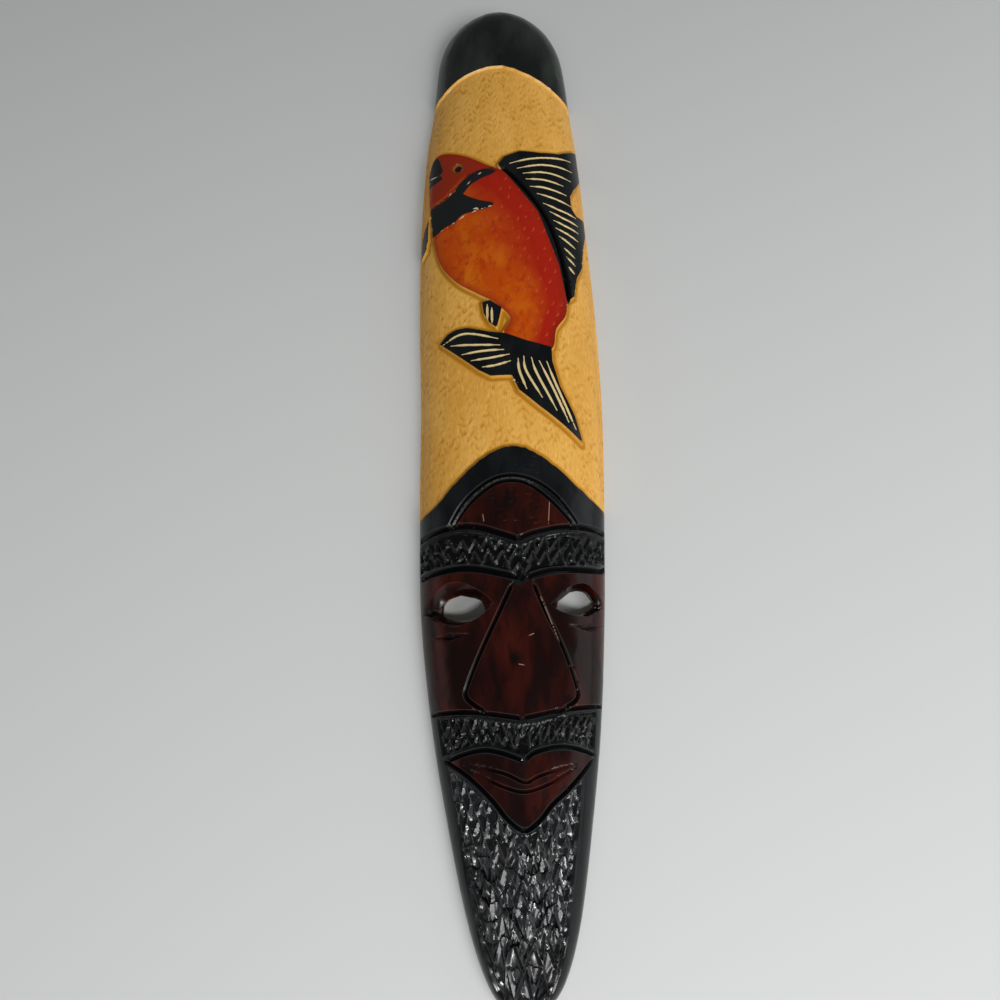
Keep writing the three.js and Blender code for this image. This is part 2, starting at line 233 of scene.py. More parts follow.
# The long cuts hardly run out, and the short ones of lips and cheeks rise for most of their length.
cuts = []
for strokes, size, run_out in ((furrows, FURROW, 0.02), (lines, LINE, 0.04), (arch_lines, ARCH_LINE, 0.02),
                               (lip_lines, LIP_LINE, 0.3), (cheek_cuts, CHEEK_CUT, 0.5)):
    cuts += [(flowing(on_wood(*marks)), size, run_out) for marks in strokes]
forehead = np.concatenate([
    flowing(on_wood((-60, -127), (-39, -106), (-11, -94), (19, -96), (43, -112), (63, -130))),
    flowing(on_wood((63, -130), (28, -135), (5, -142), (-15, -136), (-60, -127)))])
face = np.concatenate([
    flowing(on_wood((-106, -172), (-52, -172), (-9, -180), (5, -186), (20, -180), (65, -172), (106, -163))),
    flowing(on_wood((106, -277), (58, -285), (26, -290), (5, -293), (-22, -290), (-56, -286),
                    (-106, -283))),
    on_wood((-106, -172))])
mouth = np.concatenate([
    flowing(on_wood((-84, -323), (-47, -320), (-24, -322), (6, -329))),
    flowing(on_wood((6, -329), (22, -322), (56, -318), (88, -321))),
    flowing(on_wood((88, -323), (62, -344), (41, -356), (24, -368), (5, -374), (-16, -366), (-38, -351),
                    (-67, -333), (-84, -323)))])

# Chatter of the knife. Where the forehead was smoothed, and over the top of the hood, the blade
# skipped and left short shallow curls, no two of them alike.
CHATTER = (2.6, 0.55)
CHATTER_SPAN = (6, 17)
CHATTER_BEND = (0, 2, 2.4, 1)
CHATTER_RUN_OUT = 0.4
# Where it lies along the mask, from and to, how far it goes to either side, and how many strokes.
FOREHEAD_CHATTER = (-132, -98, 30, 34)
HOOD_CHATTER = (-86, -66, 34, 14)
chatter = []
for low_along, high_along, half_room, count in (FOREHEAD_CHATTER, HOOD_CHATTER):
    for _ in range(count):
        start = on_wood((hand.uniform(-half_room, half_room), hand.uniform(low_along, high_along)))[0]
        span = hand.uniform(*CHATTER_SPAN)
        bends = np.stack([np.linspace(0, span, 4), CHATTER_BEND * hand.uniform(0.4, 1.4, 4)], axis=-1)
        chatter.append((flowing(start - (span / 2, 0) + bends, 3), CHATTER, CHATTER_RUN_OUT))

# Hair, cut with a V tool in brow band, moustache and beard. Rows of zig-zag ridges stand between
# chips that fall away from them. Each row was started by eye, so no two teeth are alike. A row has
# its place along the mask, its two ends, the height and pitch of its teeth, and how far they lean.


def zigzag(along, start, end, height, pitch, lean=0.0):
    """One row of teeth, between two places in hundredths of the half width."""
    from_place, to_place = on_wood((start, along), (end, along))
    legs = 2 * max(round((to_place[0] - from_place[0]) / pitch), 1)
    over = np.linspace(from_place[0], to_place[0], legs + 1)
    rise = np.where(np.arange(legs + 1) % 2 == 0, 0.5, -0.5) * height * hand.uniform(0.7, 1.15, legs + 1)
    over[1:-1] += hand.uniform(-0.17, 0.17, legs - 1) * pitch + lean * rise[1:-1]
    return np.stack([over, from_place[1] + rise + hand.uniform(-1.5, 1.5, legs + 1)], axis=-1)


brow_rows = [(-147, -98, 2, 12, 11), (-159, -98, 2, 12, 11), (-148, 4, 99, 14, 11, 0.2),
             (-160, 6, 99, 12, 11), (-171, -6, 15, 9, 10)]
moustache_rows = [(-297, -90, 4, 13, 8.6), (-309, -90, 0, 11, 8.2), (-298, 6, 90, 15, 6.4, 0.5),
                  (-309, 12, 88, 12, 7, 0.4)]
jaw_rows = [(-331, -88, -72, 13, 7), (-344, -87, -58, 14, 7.5), (-359, -85, -38, 15, 8),
            (-373, -84, -14, 15, 8), (-338, 72, 84, 13, 7), (-350, 62, 80, 15, 7.5),
            (-362, 44, 78, 15, 8), (-374, 24, 77, 15, 8)]
beard_rows = [(along, -84 + 3 * (step % 2), 77 - 2 * (step % 2), 18, 10.5 - 0.4 * (step % 3))
              for step, along in enumerate(range(-390, -450, -17))]
tip_rows = [(-461, -82, 76, 22, 13.5), (-481, -80, 75, 20, 13)]
hair = [zigzag(*row) for row in brow_rows + moustache_rows + jaw_rows + beard_rows + tip_rows]
brow_band = np.concatenate([
    flowing(on_wood((-99, -138), (-66, -135), (-40, -137), (-15, -144), (5, -150), (28, -143),
                    (64, -136), (99, -133))),
    flowing(on_wood((99, -158), (65, -166), (20, -173), (8, -183), (-9, -172), (-52, -164), (-99, -164))),
    on_wood((-99, -138))])
moustache = np.concatenate([
    flowing(on_wood((-92, -288), (-56, -291), (5, -298), (58, -290), (92, -284))),
    flowing(on_wood((92, -316), (56, -311), (22, -315), (6, -322), (-24, -315), (-47, -313), (-92, -319))),
    on_wood((-92, -288))])
beard = np.concatenate([
    on_wood(*((-87, along) for along in range(-319, -500, -12))),
    on_wood(*((79, along) for along in range(-498, -318, 12))),
    on_wood((-87, -319))])

# The eyes, leaf-shaped sockets that narrow to a smaller leaf cut right through the shell.
# Each is given by the upper and lower edge of its socket, then of its hole.
SOCKET_DEPTH = 9
EDGE_STEPS = 8
eyes = [
    (((-97, -197), (-87, -187), (-75, -180), (-60, -179), (-45, -184), (-31, -192), (-22, -200)),
     ((-22, -200), (-38, -211), (-62, -217), (-84, -210), (-97, -197)),
     ((-77, -200), (-71, -191), (-60, -187), (-48, -188), (-36, -192), (-26, -199)),
     ((-26, -199), (-33, -206), (-47, -210), (-62, -209), (-72, -206), (-77, -200))),
    (((38, -201), (57, -186), (68, -181), (80, -181), (97, -193)),
     ((97, -193), (87, -204), (73, -209), (50, -207), (38, -201)),
     ((41, -200), (50, -191), (60, -185), (71, -183), (80, -186), (87, -194)),
     ((87, -194), (79, -201), (65, -206), (50, -204), (41, -200))),
]


def over_dome(over, y):
    """The point of the smooth dome that lies this far over from the middle line, measured on the wood."""
    left, right, crest = section(y)
    half = np.where(over < 0, left, right)
    reach = np.abs(over)
    angle = reach / girth(np.full_like(reach, math.pi / 2), half, crest) * math.pi / 2
    for _ in range(5):
        angle -= (girth(angle, half, crest) - reach) / np.hypot(half * np.cos(angle), crest * np.sin(angle))
    angle = np.clip(angle, 0, math.pi / 2)
    return np.stack([MIDDLE + np.sign(over) * half * np.sin(angle), y, crest * np.cos(angle)], axis=-1)


def plan(marks):
    """The places of marks on the smooth dome, in the view straight from above."""
    return over_dome(*marks.T)[:, :2]


eye_edges = []
for socket_top, socket_low, hole_top, hole_low in eyes:
    socket = np.concatenate([flowing(on_wood(*edge), EDGE_STEPS) for edge in (socket_top, socket_low)])
    hole = np.concatenate([flowing(on_wood(*edge), EDGE_STEPS) for edge in (hole_top, hole_low)])
    eye_edges.append((socket, plan(socket), plan(hole)))

# The front skin of the mask. Its rows of points lie closest where the knife work is finest, and
# points are moved onto the edges and beds of the cuts, so that each line of the carving stays sharp.
COLUMNS = 132
FLANK_THINNING = 0.25
FACE_ROW = 1.25
GROUND_ROW = 1.5
CAP_ROW = 3.4
TIP_ROW = 0.7
CROWN_ROWS = 12
CHIN_TIP, CROWN_TIP = 4, 14
FACE_TOP, GROUND_TOP = -60, 398
EDGE_BEVEL = 1.9
# Points move by up to this share of a row, and nothing farther off than FAR is measured.
REACH, RAY_REACH = 0.5, 0.62
FAR = 60.0
face_rows = np.arange(-LENGTH / 2 + CHIN_TIP, FACE_TOP, FACE_ROW)
ground_rows = np.arange(face_rows[-1] + GROUND_ROW, GROUND_TOP, GROUND_ROW)
cap_rows = np.arange(ground_rows[-1] + CAP_ROW, LENGTH / 2 - CROWN_TIP, CAP_ROW)
chin_rows = np.arange(-LENGTH / 2, face_rows[0] - TIP_ROW / 2, TIP_ROW)
crown_rows = LENGTH / 2 - CROWN_TIP * (1 - np.linspace(0, 1, CROWN_ROWS)) ** 2
row_places = np.concatenate([chin_rows, face_rows, ground_rows, cap_rows, crown_rows])
ROWS = len(row_places)
even = np.linspace(-1, 1, COLUMNS + 1)
column_shares = even * (1 - FLANK_THINNING) + FLANK_THINNING * even ** 3
grid_y = np.repeat(row_places[:, None], COLUMNS + 1, axis=1)
left, right, crest = section(row_places)
quarter = np.full(ROWS, math.pi / 2)
left_reach, right_reach = girth(quarter, left, crest), girth(quarter, right, crest)
grid_over = np.where(column_shares < 0, left_reach[:, None], right_reach[:, None]) * column_shares
places = np.stack([grid_over.ravel(), grid_y.ravel()], axis=-1)
grid_places = places.copy()
cell = np.where(places[:, 1] > face_rows[-1], GROUND_ROW, FACE_ROW)
loose = np.ones((ROWS, COLUMNS + 1), bool)
loose[:, [0, -1]] = False
loose[[0, -1], :] = False
loose = loose.ravel()


def nearest_on(path, at, room=12.0):
    """For places on the wood: distance to a path, the nearest point of it and the share along it."""
    distance = np.full(len(at), FAR)
    foot = at.copy()
    share = np.zeros(len(at))
    low_corner, high_corner = path.min(axis=0) - room, path.max(axis=0) + room
    close = np.flatnonzero(np.all((at > low_corner) & (at < high_corner), axis=1))
    spot = at[close]
    lengths = np.hypot(*np.diff(path, axis=0).T)
    run = np.concatenate([[0], np.cumsum(lengths)]) / lengths.sum()
    best, best_foot, best_share = distance[close], foot[close], share[close]
    for start, end, from_run, to_run in zip(path[:-1], path[1:], run[:-1], run[1:]):
        step = end - start
        part = np.clip((spot - start) @ step / max(step @ step, 1e-9), 0, 1)
        point = start + part[:, None] * step
        gap = np.hypot(*(spot - point).T)
        nearer = gap < best
        best = np.where(nearer, gap, best)
        best_foot = np.where(nearer[:, None], point, best_foot)
        best_share = np.where(nearer, from_run + part * (to_run - from_run), best_share)
    distance[close], foot[close], share[close] = best, best_foot, best_share
    return distance, foot, share


def pull_onto(path, offsets, share=REACH):
    """Moves the loose points that are nearest to a path, or to its parallels, right onto it."""
    distance, foot, _ = nearest_on(path, places)
    away = (places - foot) / np.maximum(distance, 1e-6)[:, None]
    for offset in offsets:
        hit = loose & (np.abs(distance - offset) < share * cell)
        places[hit] = foot[hit] + away[hit] * offset
        loose[hit] = False


for path, (width, _), _ in cuts:
    pull_onto(path, (0, width / 2))
for path, _, _ in rays:
    pull_onto(path, (0,), RAY_REACH)
for path, _, _ in chatter:
    pull_onto(path, (0,))
for path in hair + [socket for socket, _, _ in eye_edges] + head_marks:
    pull_onto(path, (0,))
for path in (cap_edge, hood_edge, fish_body, *fins):
    pull_onto(path, (0, EDGE_BEVEL))

# The forms that the edges part, told at every point of the skin by how far inside them it lies:
# cap, hood, body and fins stand at the full height of the wood, and the rest is sunk ground.
MARK_ROOM = 8
FISH_ROOM = 110.0
GILL_WIDTH = 1.4


def within(outline, at):
    """True for places inside a closed outline."""
    inside = np.zeros(len(at), bool)
    for start, end in zip(outline[:-1], outline[1:]):
        crosses = (start[1] > at[:, 1]) != (end[1] > at[:, 1])
        slope = (end[0] - start[0]) / (end[1] - start[1] if end[1] != start[1] else 1e-9)
        inside ^= crosses & (at[:, 0] < start[0] + slope * (at[:, 1] - start[1]))
    return inside


def inside_by(outline, at, room=25.0):
    """Distance inside a closed outline, less than nothing outside it."""
    distance, _, _ = nearest_on(outline, at, room)
    return np.where(within(outline, at), distance, -distance)


def beyond(edge, at, side):
    """Distance past an edge that runs right across the mask: side is 1 above it, -1 below it."""
    distance, _, _ = nearest_on(edge, at, 1000.0)
    above = at[:, 1] > np.interp(at[:, 0], edge[:, 0], edge[:, 1])
    return side * np.where(above, distance, -distance)


cap = beyond(cap_edge, places, 1)
hood = beyond(hood_edge, places, -1)
body = inside_by(fish_body, places)
fin = np.max([inside_by(outline, places) for outline in fins], axis=0)
raised = np.max([cap, hood, body, fin], axis=0)
stained = np.max([inside_by(outline, places) for outline in (forehead, face, mouth)], axis=0)
marked = np.max([inside_by(outline, places, MARK_ROOM) for outline in head_marks], axis=0)
marked = np.minimum(np.maximum(marked, GILL_WIDTH / 2 - nearest_on(gill_line, places)[0]), body)
from_back = nearest_on(back_line, places, FISH_ROOM)[0]
from_belly = nearest_on(belly_line, places, FISH_ROOM)[0]
below_back = from_back / (from_back + from_belly)
from_eye = np.hypot(*(places - fish_eye).T)

# Thin marks: the scales of the fish, each nicked with a small gouge and set out by eye in rows,
# the bare rays of the fins, scratches on the face, and chips along the edges of the paint, with two painted
# highlights at the fish's eye among them.
SCALE_ROOM = (10, 12)
SCALE_ARC = 3.5
SCALE_WAVER = 1.6
SCALES_SEEN = 0.78
SCALE_WIDTH, RAY_WIDTH, SCRATCH_WIDTH, CHIP_WIDTH = 1.7, 2.5, 1.1, 1.9
scratches = [on_wood((39, -104), (37, -131)), on_wood((26, -192), (38, -214), (49, -233)),
             on_wood((-30, -128), (-31, -121)), on_wood((2, -251), (9, -252)),
             on_wood((14, -228), (20, -226))]
# The two marks beside the fish's eye, a fleck at its lower right and one above it, are painted highlights.
chips_and_eye_glints = [on_wood(*marks) for marks in (
    ((-14, 206), (-20, 205)), ((-30, 203), (-38, 200)), ((-45, 199), (-53, 194)), ((-64, 190), (-67, 188)),
    ((-82, 375), (-76, 378)), ((38, 385), (46, 383)), ((56, 379), (62, 377)), ((68, 375), (74, 373)),
    ((3, 10), (9, 5)), ((-8, 256), (-4, 254)), ((-53, 256), (-50, 257)), ((-57, 267), (-57, 265)),
    ((-94, 262), (-80, 259)), ((-62, 231), (-66, 227)), ((-27, 249), (-31, 247)), ((-40, 240), (-44, 236)),
    ((-22, 204), (-27, 203)), ((-58, 192), (-62, 191)), ((-72, 187), (-75, 186)), ((-31, 205), (-37, 204)))]
scale_cells = np.stack(np.meshgrid(np.arange(-13, 13), np.arange(0, 28)), axis=-1).reshape(-1, 2)
scale_places = (scale_cells + np.where(scale_cells[:, 1:] % 2 == 0, (0, 0), (0.5, 0))) * SCALE_ROOM
scale_places += hand.uniform(-SCALE_WAVER, SCALE_WAVER, scale_places.shape)
on_body = inside_by(fish_body, scale_places) > 4
off_marks = np.max([inside_by(outline, scale_places) for outline in head_marks], axis=0) < -5
behind_gills = beyond(gill_line, scale_places, -1) > 4
turn = np.linspace(-1.5, 0.6, 4)
arc = SCALE_ARC * np.stack([np.cos(turn), np.sin(turn)], axis=-1)
seen = hand.uniform(0, 1, len(scale_places)) < SCALES_SEEN
scale_arcs = [place + arc * hand.uniform(0.7, 1.1)
              for place in scale_places[on_body & off_marks & behind_gills & seen]]
for path in scale_arcs + chips_and_eye_glints + scratches:
    pull_onto(path, (0,))
# Two points that were moved onto the same spot would leave an empty face, so one goes back.
_, first = np.unique(np.round(places, 1), axis=0, return_index=True)
doubled = np.setdiff1d(np.arange(len(places)), first)
places[doubled] = grid_places[doubled]


def thin_marks(strokes, width, run_out):
    """How far inside the nearest thin painted or scratched mark each place lies."""
    best = np.full(len(places), -FAR)
    for path in strokes:
        distance, _, share = nearest_on(path, places, 6)
        fade = np.clip(np.minimum(share, 1 - share) / run_out, 0.5, 1)
        best = np.maximum(best, width / 2 * fade - distance)
    return best


scale = thin_marks(scale_arcs, SCALE_WIDTH, 0.2)
ray = thin_marks([path for path, _, _ in rays], RAY_WIDTH, 0.2)
scratch = thin_marks(scratches, SCRATCH_WIDTH, 0.1)
wear_and_eye_glint = thin_marks(chips_and_eye_glints, CHIP_WIDTH, 0.4)
head = np.minimum(beyond(gill_line, places, 1), body)

# The V cuts of face and fins, with the lip of wood that each stroke of the knife leaves along it.
# A pale line of worn paint and painted highlight is drawn along that lip. Chatter stays off the ground and
# off the brow band.
CHATTER_TOP = -90
LIP_WIDTH = 0.5


def smooth_step(values, start, end):
    """0 before the start, 1 past the end, and an even rise between."""
    share = np.clip((values - start) / (end - start), 0, 1)
    return share * share * (3 - 2 * share)


def knife(strokes):
    """Depth of the deepest of these V cuts at each place, and how near it is to the lip of one."""
    depth = np.zeros(len(places))
    lip_wear_and_glint = np.full(len(places), -FAR)
    for path, (width, deep), run_out in strokes:
        distance, _, share = nearest_on(path, places)
        fade = np.clip(np.minimum(share, 1 - share) / run_out, 0.15, 1)
        depth = np.maximum(depth, deep * fade * np.clip(1 - distance / (width / 2 * fade), 0, None))
        lip_wear_and_glint = np.maximum(lip_wear_and_glint, LIP_WIDTH - np.abs(distance - width / 2 * fade))
    return depth, lip_wear_and_glint


face_cut, lip_wear_and_glint = knife(cuts)
ray_cut, _ = knife(rays)
chatter_cut, _ = knife(chatter)
chatter_room = np.maximum(inside_by(forehead, places), hood * (places[:, 1] > CHATTER_TOP))
chatter_cut *= smooth_step(chatter_room, 1, 3)

# The ground, taken down with a small gouge in overlapping scoops, deeper in some patches than in
# others. Along hood, body and fins it is drawn deeper still, so that a gutter runs round them.
GROUND_DROP = 2.2
GOUGE = (5.5, 8)
GOUGE_DEPTH = 0.65
GOUGE_PATCH = (17, 31)
GUTTER = (3, 5.5)
GUTTER_DEPTH = 0.7
# Large uneven numbers, which scatter the marks in the same way every time.
STIR = (12.9898, 78.233)
STIR_SIZE = 43758.5453


def gouge_marks(at, across, along, seed):
    """Overlapping gouge marks: how far down and how far over in the nearest mark each place lies."""
    grid = at / (across, along)
    grid[:, 1] += 0.45 * np.sin(2.3 * grid[:, 0])
    base = np.floor(grid)
    best = np.full(len(at), 9.0)
    local = np.zeros((len(at), 2))
    for shift_x in (-1, 0, 1):
        for shift_y in (-1, 0, 1):
            corner = base + (shift_x, shift_y)
            key = np.abs(np.sin(corner @ STIR + seed) * STIR_SIZE)
            jitter = np.stack([key % 1, (key * 7.31) % 1], axis=-1)
            offset = grid - corner - 0.15 - 0.7 * jitter
            gap = np.hypot(*offset.T)
            nearer = gap < best
            best = np.where(nearer, gap, best)
            local = np.where(nearer[:, None], offset, local)
    return local[:, 1], local[:, 0]


ground = smooth_step(-raised, 0, EDGE_BEVEL)
gutter = ground * (1 - smooth_step(-np.max([hood, body, fin], axis=0), *GUTTER))
down, over = gouge_marks(places, *GOUGE, seed=1.7)
scoop = np.clip(0.5 - down, 0, 1) * np.clip(1 - (1.5 * over) ** 2, 0, 1)
patch_down, patch_over = gouge_marks(places, *GOUGE_PATCH, seed=3.3)
strength = 0.35 + 0.65 * smooth_step(np.hypot(patch_down, patch_over), 0.25, 0.6)
gouged = scoop * strength * smooth_step(-raised, 3, 6)

# The chips of the hair. Each falls away from its ridge, with a short notch in it, and in the beard
# below the mouth broad slabs lean this way and that, so that each catches the light differently.
HAIR_DEPTH = 2.1
HAIR_FALL = 2.7
NOTCH = (5, 11)
NOTCH_DEPTH = 0.8
SLAB = (12, 14)
SLAB_DEPTH, SLAB_SWING, SLAB_SLANT = 1.9, 1.2, 0.9
SLABS_FROM = (385, 395)
CHIN = (452, 462)
MOUTH_MARGIN = 4
RIDGE_LIP = 0.45
off_mouth = -inside_by(mouth, places)
in_beard = np.minimum(inside_by(beard, places), off_mouth - MOUTH_MARGIN)
hairy = np.max([inside_by(brow_band, places), inside_by(moustache, places), in_beard], axis=0)
ridge = np.min([nearest_on(path, places)[0] for path in hair], axis=0)
on_chin = smooth_step(-places[:, 1], *CHIN)
hair_cut = HAIR_DEPTH * np.clip(ridge / HAIR_FALL, 0, 1) * smooth_step(hairy, 0, 2.5)
notch_down, notch_over = gouge_marks(places, *NOTCH, seed=5.1)
notch = np.clip(0.6 + notch_down, 0, 1) * np.clip(1 - (1.3 * notch_over) ** 2, 0, 1)
hair_cut += NOTCH_DEPTH * (1 - on_chin) * smooth_step(hairy, 0, 3) * notch
hair_cut *= 1 - 0.3 * (places[:, 1] < -SLABS_FROM[0]) * (1 - on_chin)
slab_down, slab_over = gouge_marks(places, *SLAB, seed=7.9)
slab_lean = SLAB_DEPTH + SLAB_SWING * np.sin(places[:, 0] / 6 + places[:, 1] / 11)
slab_lean *= (1 - 0.5 * on_chin) * smooth_step(hairy, 0, 3) * smooth_step(-places[:, 1], *SLABS_FROM)
slab_slant = SLAB_SLANT * np.sin(places[:, 0] / 9 - places[:, 1] / 7)
hair_cut += slab_lean * np.clip(0.7 - slab_down + slab_slant * slab_over, 0, 1.5)
in_socket = np.max([inside_by(socket, places) for socket, _, _ in eye_edges], axis=0)
# The pale line of worn paint and painted highlight also runs along the hair ridges and round the eye
# sockets.
lip_wear_and_glint = np.max([lip_wear_and_glint, np.minimum(RIDGE_LIP - ridge, hairy), RIDGE_LIP - np.abs(in_socket)], axis=0)

# The finished surface. The smooth parts keep a faint ripple from the blade, and the eye of the fish
# is bored in. Every cut is sunk square to the dome, and the eye sockets are sunk straight down.
RIPPLE = (13, 17)
RIPPLE_DEPTH = 0.16
EYE_BORE = 1.5
SCALE_NICK = 0.28
NUDGE = 0.4
ripple_down, ripple_over = gouge_marks(places, *RIPPLE, seed=9.4)
rippled = np.clip(1 - 2 * (ripple_down ** 2 + ripple_over ** 2), 0, 1) * smooth_step(raised, 2, 6)
bored = smooth_step(-from_eye, -EYE_RADIUS, -EYE_RADIUS + 1.8) * smooth_step(from_eye, 0, 3)
depth = (GROUND_DROP * ground + GUTTER_DEPTH * gutter + GOUGE_DEPTH * gouged + RIPPLE_DEPTH * rippled
         + EYE_BORE * bored + SCALE_NICK * np.clip(scale / 0.55, 0, 1)
         + np.max([face_cut, ray_cut, hair_cut, chatter_cut], axis=0))


def share_out(outline, at):
    """How far out in an outline places lie, 1 being its edge, and the spot on the edge next to each."""
    middle = (outline.max(axis=0) + outline.min(axis=0)) / 2
    offset = outline - middle
    turn = np.arctan2(offset[:, 1], offset[:, 0])
    order = np.argsort(turn)
    reach = at - middle
    radius = np.hypot(*reach.T)
    edge = np.interp(np.arctan2(reach[:, 1], reach[:, 0]), turn[order], np.hypot(*offset[order].T),
                     period=2 * math.pi)
    share = radius / edge
    return share, middle + reach / np.maximum(share, 1e-6)[:, None]


skin = over_dome(places[:, 0], places[:, 1])
sideways = over_dome(places[:, 0] + NUDGE, places[:, 1]) - over_dome(places[:, 0] - NUDGE, places[:, 1])
upward = over_dome(places[:, 0], places[:, 1] + NUDGE) - over_dome(places[:, 0], places[:, 1] - NUDGE)
outward = np.cross(sideways, upward)
outward /= np.maximum(np.linalg.norm(outward, axis=1), 1e-9)[:, None]
edge_points = np.abs(np.tile(column_shares, ROWS)) > 0.999
depth[edge_points] = 0
skin -= outward * depth[:, None]
skin[edge_points, 2] = 0
for _, socket, hole in eye_edges:
    out, _ = share_out(socket, skin[:, :2])
    through, _ = share_out(hole, skin[:, :2])
    room_out, room_in = np.clip(1 - out, 0, None), np.clip(through - 1, 0, None)
    skin[:, 2] -= np.where(out < 1, SOCKET_DEPTH * room_out / np.maximum(room_out + room_in, 1e-6), 0)

# The faces of the skin. Each square is split along the diagonal that follows the cuts, and the faces
# inside each eye hole are taken out, so that the shell is open there from front to back.
rims = []


def grid_squares(rows, columns):
    """The four corners of every square of a grid of points, counter-clockwise."""
    index = np.arange(rows * columns).reshape(rows, columns)
    return index[:-1, :-1].ravel(), index[:-1, 1:].ravel(), index[1:, 1:].ravel(), index[1:, :-1].ravel()


def open_holes(points, faces):
    """Takes the faces out of each eye hole, and moves the points along its rim right onto the outline."""
    for _, _, hole in eye_edges:
        share, on_edge = share_out(hole, points[:, :2])
        inside = share < 1
        kept = ~inside[faces].all(axis=1)
        rim = inside.copy()
        rim[np.setdiff1d(np.arange(len(points)), faces[kept])] = False
        points[rim, :2] = on_edge[rim]
        faces = faces[kept]
        rims.append(np.flatnonzero(rim))
    return faces


a, b, c, d = grid_squares(ROWS, COLUMNS + 1)
level = depth + 0.02 * skin[:, 2]
first_split = (np.abs(level[a] - level[c]) <= np.abs(level[b] - level[d]))[:, None]
front_faces = np.concatenate([np.where(first_split, np.stack([a, b, c], 1), np.stack([a, b, d], 1)),
                              np.where(first_split, np.stack([a, c, d], 1), np.stack([b, c, d], 1))])
front_faces = open_holes(skin, front_faces)

# The hollow, adzed out from behind and left bare, with a flat rim all round it and solid wood
# at chin and crown. Its faces look back out of the mask.
RIM = 12
WALL = 14
END_BLOCK = 44
HOLLOW_ROUND = 90
HOLLOW_COLUMNS = 28
HOLLOW_ROW = 8
END_ROWS = 9
ADZE = (17, 29)
ADZE_DEPTH = 1.1
reach = LENGTH / 2 - END_BLOCK
rounded = 0.6 * HOLLOW_ROUND
steps = np.linspace(0, 1, END_ROWS)
hollow_rows = np.concatenate([
    -reach + rounded * steps ** 2,
    np.arange(-reach + rounded + HOLLOW_ROW, reach - rounded, HOLLOW_ROW),
    reach - rounded * steps[::-1] ** 2])
left, right, crest = section(hollow_rows)
end = end_rounding((reach - np.abs(hollow_rows)) / HOLLOW_ROUND, CROWN_POWER)
angle = np.linspace(-1, 1, HOLLOW_COLUMNS + 1) * math.pi / 2
half = np.where(angle < 0, ((left - RIM) * end)[:, None], ((right - RIM) * end)[:, None])
hollow_x = MIDDLE + half * np.sin(angle)
hollow_y = np.repeat(hollow_rows[:, None], HOLLOW_COLUMNS + 1, axis=1)
hollow_z = ((crest - WALL) * end)[:, None] * np.cos(angle)
adze_down, adze_over = gouge_marks(np.stack([hollow_x.ravel(), hollow_y.ravel()], axis=-1), *ADZE, seed=2.2)
adzed = ADZE_DEPTH * np.minimum(np.hypot(adze_down, adze_over), 0.7).reshape(hollow_z.shape)
hollow_z -= adzed * np.cos(angle) * np.minimum(hollow_z, 6) / 6
hollow = np.stack([hollow_x, hollow_y, hollow_z], axis=-1).reshape(-1, 3)
e, f, g, h = grid_squares(len(hollow_rows), HOLLOW_COLUMNS + 1)
hollow_faces = np.concatenate([np.stack([e, g, f], 1), np.stack([e, h, g], 1)])
hollow_faces = open_holes(hollow, hollow_faces)

# The walls of the eye holes, cut straight through the shell, and the flat faces of rim, chin and
# crown that close it. Paint ends at the front edge of the rim, and what lies behind is bare.


def rim_chain(faces, rim):
    """The points round a hole, in the order in which the faces beside it meet them."""
    is_rim = np.zeros(faces.max() + 1, bool)
    is_rim[rim] = True
    edges = np.concatenate([faces[:, [0, 1]], faces[:, [1, 2]], faces[:, [2, 0]]])
    pairs = set(map(tuple, edges[is_rim[edges].all(axis=1)].tolist()))
    onward = {start: end for start, end in pairs if (end, start) not in pairs}
    chain = [min(onward)]
    while onward[chain[-1]] != chain[0]:
        chain.append(onward[chain[-1]])
    return chain


def turns_round(loop, points, middle):
    """How far round a middle the points of a clockwise loop have come."""
    spots = points[loop, :2] - middle
    return -np.unwrap(np.arctan2(spots[:, 1], spots[:, 0]))


def hole_wall(upper, lower, points):
    """The wall of an eye hole, between the rim in front and the rim in the hollow, both clockwise."""
    middle = points[upper, :2].mean(axis=0)
    upper_turn = turns_round(upper, points, middle)
    first = np.argmin(np.hypot(*(points[lower, :2] - points[upper[0], :2]).T))
    lower = lower[first:] + lower[:first]
    lower_turn = turns_round(lower, points, middle)
    upper_turn, lower_turn = upper_turn - upper_turn[0], lower_turn - lower_turn[0]
    upper, lower = upper + upper[:1], lower + lower[:1]
    upper_turn, lower_turn = np.append(upper_turn, 2 * math.pi), np.append(lower_turn, 2 * math.pi)
    walls, i, j = [], 0, 0
    while i < len(upper) - 1 or j < len(lower) - 1:
        if j == len(lower) - 1 or (i < len(upper) - 1 and upper_turn[i + 1] <= lower_turn[j + 1]):
            walls.append((upper[i + 1], upper[i], lower[j]))
            i += 1
        else:
            walls.append((lower[j], lower[j + 1], upper[i]))
            j += 1
    return walls


offset = len(skin)
points = np.concatenate([skin, hollow])
back_faces = hollow_faces + offset
wall_faces = []
bare_faces = back_faces.tolist()
for front_rim, back_rim in zip(rims[:2], rims[2:]):
    upper = rim_chain(front_faces, front_rim)
    lower = rim_chain(back_faces, back_rim + offset)[::-1]
    wall_faces += hole_wall(upper, lower, points)
front_index = np.arange(ROWS * (COLUMNS + 1)).reshape(ROWS, -1)
hollow_index = offset + np.arange(len(hollow)).reshape(-1, HOLLOW_COLUMNS + 1)
bare_faces += [
    [*front_index[:, 0], *hollow_index[::-1, 0]],
    [*front_index[::-1, -1], *hollow_index[:, -1]],
    [front_index[-1, 0], front_index[-1, -1], hollow_index[-1, -1], hollow_index[-1, 0]],
    [front_index[0, -1], front_index[0, 0], hollow_index[0, 0], hollow_index[0, -1]],
    [*hollow_index[0]], [*hollow_index[-1, ::-1]]]
end_faces = [[*front_index[0, ::-1]], [*front_index[-1]]]
painted_faces = front_faces.tolist() + end_faces + wall_faces
